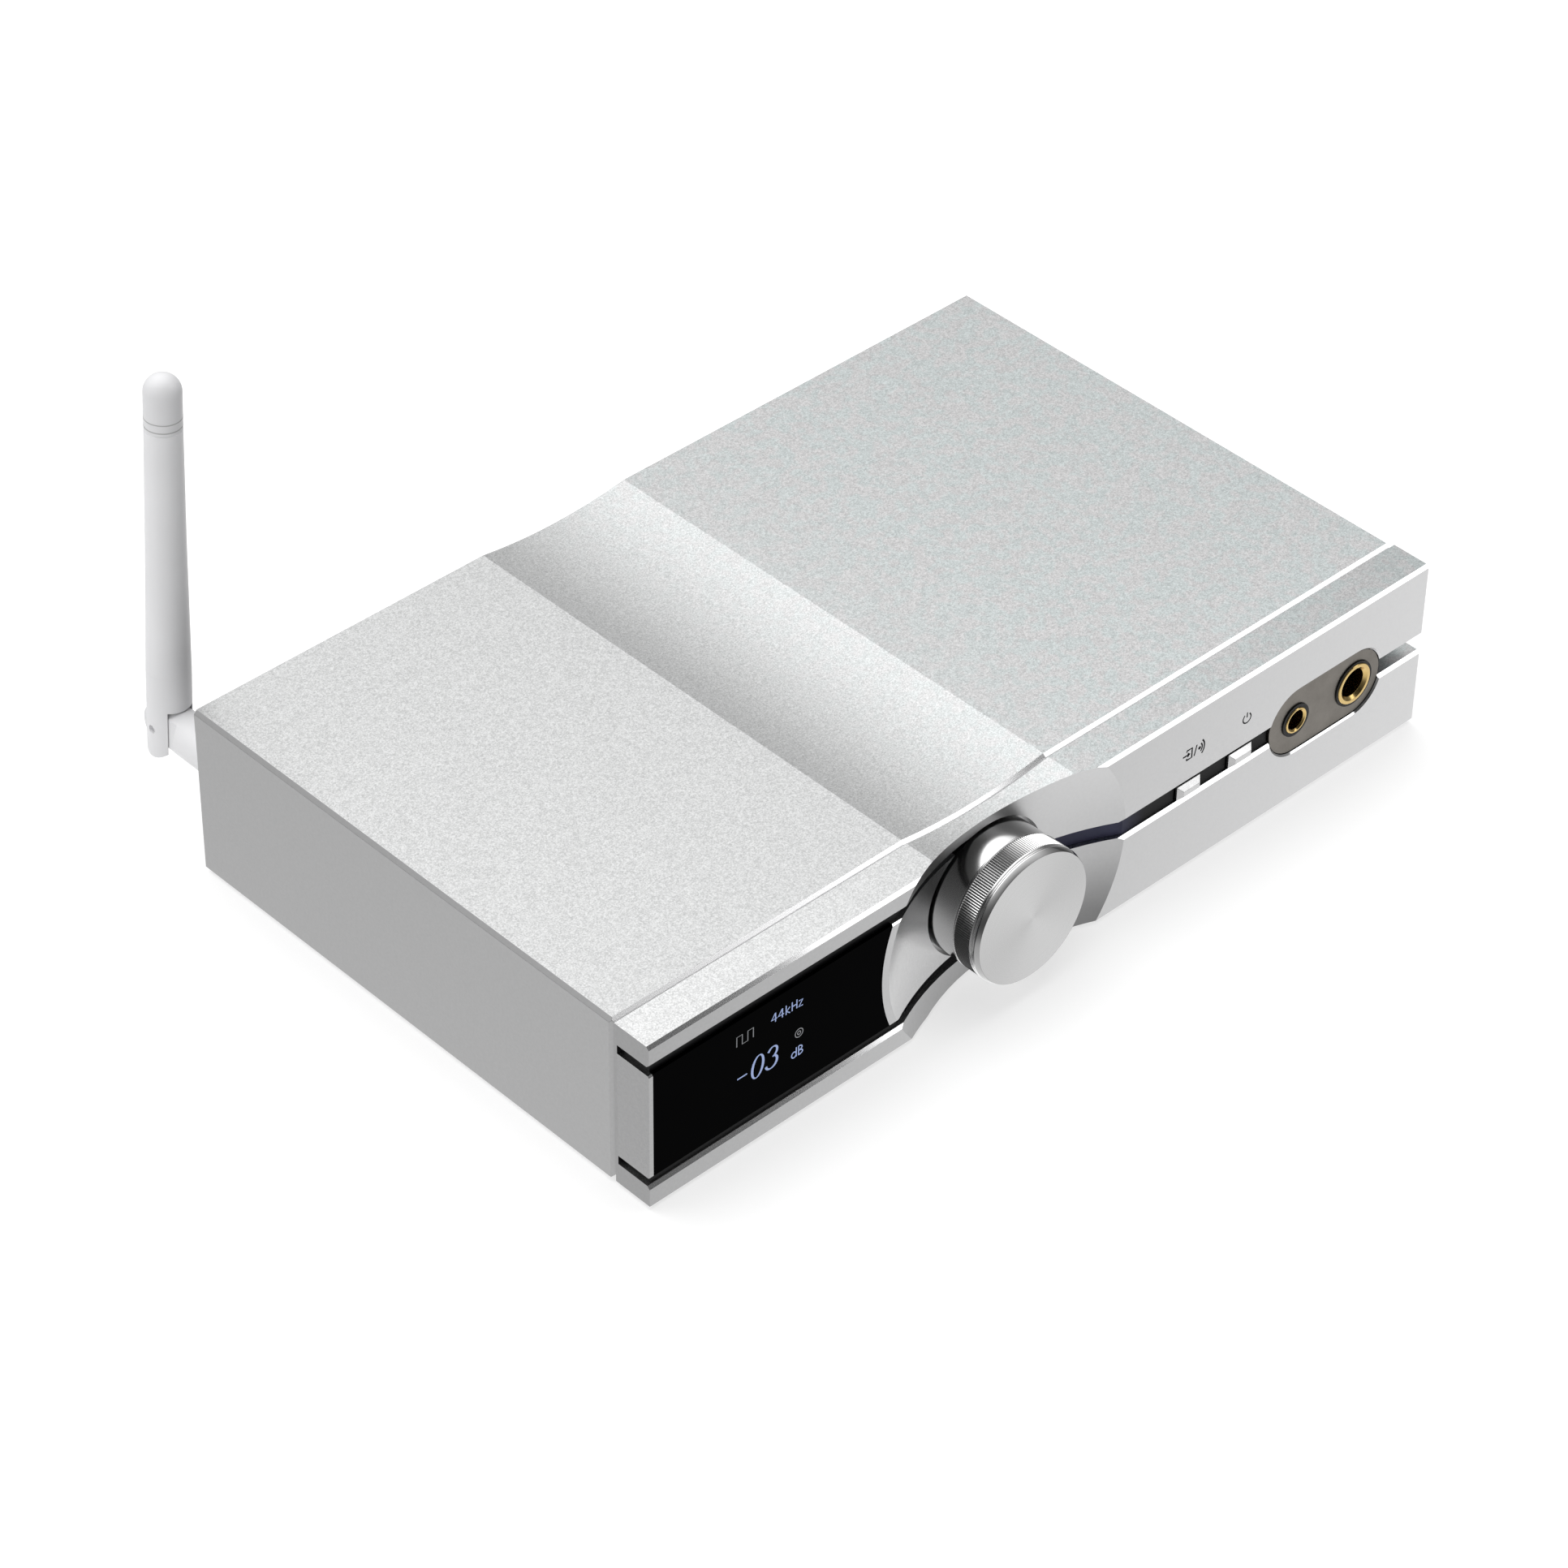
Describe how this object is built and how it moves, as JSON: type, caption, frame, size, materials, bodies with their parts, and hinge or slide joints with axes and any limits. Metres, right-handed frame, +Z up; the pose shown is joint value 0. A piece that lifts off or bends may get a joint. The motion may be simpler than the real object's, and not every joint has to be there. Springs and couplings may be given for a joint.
{
  "type": "desktop hi-fi headphone amplifier",
  "caption": "Flat aluminium desktop music streamer and headphone amplifier with a dished front, black display window, round volume knob, push buttons, headphone sockets and a hinged aerial.",
  "frame": {"origin": "on the table, under the middle of the whole object's box, aerial and knob included", "axes": "+X along the case's width to the right seen from the front, +Y to the back, +Z up"},
  "size_m": [0.214, 0.163, 0.1048],
  "materials": {
    "blasted_aluminium": "bead-blasted and clear anodised, fine sparkle",
    "satin_aluminium": "finely blasted, satin",
    "key_aluminium": "bright satin",
    "turned_aluminium": "turned, with polished bevels",
    "steel": "plated",
    "tin": "tinned sheet",
    "black_plastic": "moulded",
    "liner_plastic": "dark charcoal, matt",
    "white_plastic": "moulded, satin",
    "rubber": "matt",
    "black_glass": "gloss black",
    "oled": "gloss",
    "circuit_board": "solder mask",
    "flex_film": "film",
    "bronze_plate": "warm grey-brown, satin",
    "gold": "gold plated",
    "brass": "bright",
    "ferrite": "sintered",
    "black_panel": "fine matt black",
    "black_metal": "satin black"
  },
  "bodies": {
    "chassis": {"case_sleeve": "blasted_aluminium", "front_bezel": "blasted_aluminium", "display_block": "satin_aluminium", "encoder_nut": "steel", "encoder_body": "black_plastic", "bezel_screws": "steel", "rear_screws": "steel", "board_screws": "steel", "display_screws": "steel", "board_standoffs": "steel", "rubber_feet": "rubber", "display_glass": "black_glass", "oled_panel": "oled", "oled_board": "circuit_board", "display_ribbon": "flex_film", "lower_slot_liner": "liner_plastic", "upper_slot_liner": "liner_plastic", "right_slot_liner": "liner_plastic", "tact_switches": "steel", "front_board": "circuit_board", "jack_plate": "bronze_plate", "small_jack_body": "black_plastic", "large_jack_body": "black_plastic", "small_jack_lining": "gold", "large_jack_lining": "gold", "main_board": "circuit_board", "signal_chips": "black_plastic", "shield_can": "tin", "power_capacitors": "tin", "wireless_module": "tin", "power_inductors": "ferrite", "rear_panel": "black_panel", "phono_left": "gold", "phono_right": "gold", "coax_socket": "gold", "balanced_left": "black_metal", "balanced_right": "black_metal", "optical_socket": "black_plastic", "usb_socket": "tin", "power_inlet": "black_plastic", "aerial_socket": "gold"},
    "encoder_rotor": {"encoder_rotor": "steel"},
    "volume_control": {"volume_knob": "turned_aluminium", "knob_face": "turned_aluminium", "encoder_shaft": "steel"},
    "input_key": {"input_button": "key_aluminium", "input_plunger": "black_plastic"},
    "power_key": {"power_button": "key_aluminium", "power_plunger": "black_plastic"},
    "aerial_swivel": {"aerial_base": "white_plastic"},
    "aerial_arm": {"aerial_fork": "white_plastic", "aerial_pin": "steel", "aerial_tube": "white_plastic", "aerial_cap": "white_plastic", "aerial_element": "brass"}
  },
  "joints": [
    {"name": "volume_turn", "type": "hinge", "parent": "chassis", "child": "encoder_rotor", "pos_m": [-0.0132, -0.075, 0.021], "axis": [0, 1, 0], "continuous": true},
    {"name": "volume_push", "type": "slide", "parent": "encoder_rotor", "child": "volume_control", "axis": [0, 1, 0], "range_m": [0, 0.0005], "stiffness_N_per_m": 6000},
    {"name": "input_press", "type": "slide", "parent": "chassis", "child": "input_key", "axis": [0, 1, 0], "range_m": [0, 0.0005], "stiffness_N_per_m": 2000},
    {"name": "power_press", "type": "slide", "parent": "chassis", "child": "power_key", "axis": [0, 1, 0], "range_m": [0, 0.0005], "stiffness_N_per_m": 2000},
    {"name": "aerial_turn", "type": "hinge", "parent": "chassis", "child": "aerial_swivel", "pos_m": [-0.099, 0.0769, 0.0226], "axis": [0, 1, 0], "range_deg": [-93.4, 86.6]},
    {"name": "aerial_tilt", "type": "hinge", "parent": "aerial_swivel", "child": "aerial_arm", "pos_m": [-0.099, 0.0769, 0.0226], "axis": [-0.9982, 0, 0.0593], "range_deg": [0, 90]}
  ]
}
